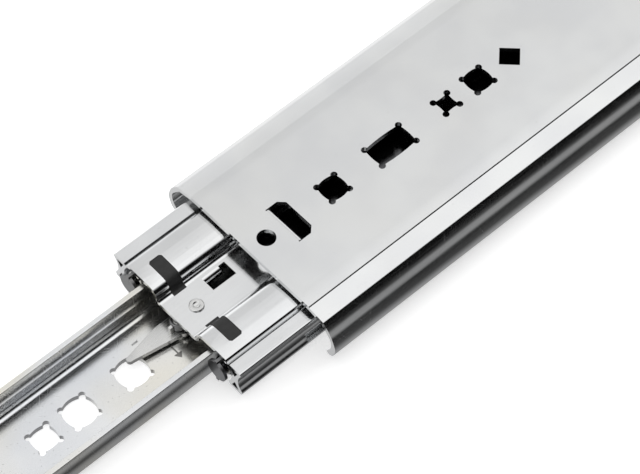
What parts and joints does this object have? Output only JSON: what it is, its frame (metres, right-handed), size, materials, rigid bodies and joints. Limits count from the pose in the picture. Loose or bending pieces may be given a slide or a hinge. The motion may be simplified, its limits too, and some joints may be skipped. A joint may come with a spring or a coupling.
{
  "type": "cabinet drawer slide",
  "caption": "Heavy-duty three-section ball-bearing drawer slide in bright zinc-plated steel, partly pulled out, with a side release lever and rubber cushions.",
  "frame": {"origin": "centre of the front fixing hole, on the outer rail's cabinet face", "axes": "+X the way the drawer pulls out; +Z the outward normal of the cabinet face; +Y across the slide"},
  "size_m": [0.4834, 0.0762, 0.0191],
  "materials": {
    "zinc_rail": "bright zinc plated",
    "spring_steel": "plain spring steel",
    "rivet_steel": "zinc plated, drawn",
    "lever_steel": "zinc plated, blanked",
    "spring_wire": "drawn spring wire",
    "rubber": "matt black",
    "retainer_steel": "plain pressed strip",
    "ball_steel": "polished bearing steel"
  },
  "bodies": {
    "outer": {"outer_rail": "zinc_rail", "rear_bumper": "rubber", "bumper_rivet": "rivet_steel"},
    "intermediate": {"intermediate_rail": "zinc_rail", "catch_plate": "spring_steel", "catch_rivet": "rivet_steel", "front_pad_left": "rubber", "front_pad_right": "rubber"},
    "inner": {"inner_rail": "zinc_rail", "lever_pivot": "rivet_steel", "lever_spring": "spring_wire", "inner_stop": "spring_steel", "inner_stop_rivets": "rivet_steel"},
    "lever": {"release_lever": "lever_steel"},
    "outer_cage_left": {"outer_retainer_left": "retainer_steel", "outer_balls_left": "ball_steel"},
    "outer_cage_right": {"outer_retainer_right": "retainer_steel", "outer_balls_right": "ball_steel"},
    "inner_cage_left": {"inner_retainer_left": "retainer_steel", "inner_balls_left": "ball_steel"},
    "inner_cage_right": {"inner_retainer_right": "retainer_steel", "inner_balls_right": "ball_steel"}
  },
  "joints": [
    {"name": "intermediate_slide", "type": "slide", "parent": "outer", "child": "intermediate", "axis": [1, 0, 0], "range_m": [-0.0286, 0.1214]},
    {"name": "inner_slide", "type": "slide", "parent": "intermediate", "child": "inner", "axis": [1, 0, 0], "range_m": [-0.15, 0]},
    {"name": "outer_cage_left_roll", "type": "slide", "parent": "outer", "child": "outer_cage_left", "axis": [1, 0, 0], "range_m": [-0.0143, 0.0607]},
    {"name": "outer_cage_right_roll", "type": "slide", "parent": "outer", "child": "outer_cage_right", "axis": [1, 0, 0], "range_m": [-0.0143, 0.0607]},
    {"name": "inner_cage_left_roll", "type": "slide", "parent": "intermediate", "child": "inner_cage_left", "axis": [1, 0, 0], "range_m": [-0.075, 0]},
    {"name": "inner_cage_right_roll", "type": "slide", "parent": "intermediate", "child": "inner_cage_right", "axis": [1, 0, 0], "range_m": [-0.075, 0]},
    {"name": "lever_swing", "type": "hinge", "parent": "inner", "child": "lever", "pos_m": [0.0338, -0.0018, -0.0153], "axis": [0, 0, 1], "range_deg": [0, 8], "stiffness_Nm_per_rad": 0.02, "springref_deg": -2.86}
  ],
  "couplings": [
    {"joint": "outer_cage_left_roll", "follows": "intermediate_slide", "ratio": 0.5},
    {"joint": "outer_cage_right_roll", "follows": "intermediate_slide", "ratio": 0.5},
    {"joint": "inner_cage_left_roll", "follows": "inner_slide", "ratio": 0.5},
    {"joint": "inner_cage_right_roll", "follows": "inner_slide", "ratio": 0.5}
  ]
}
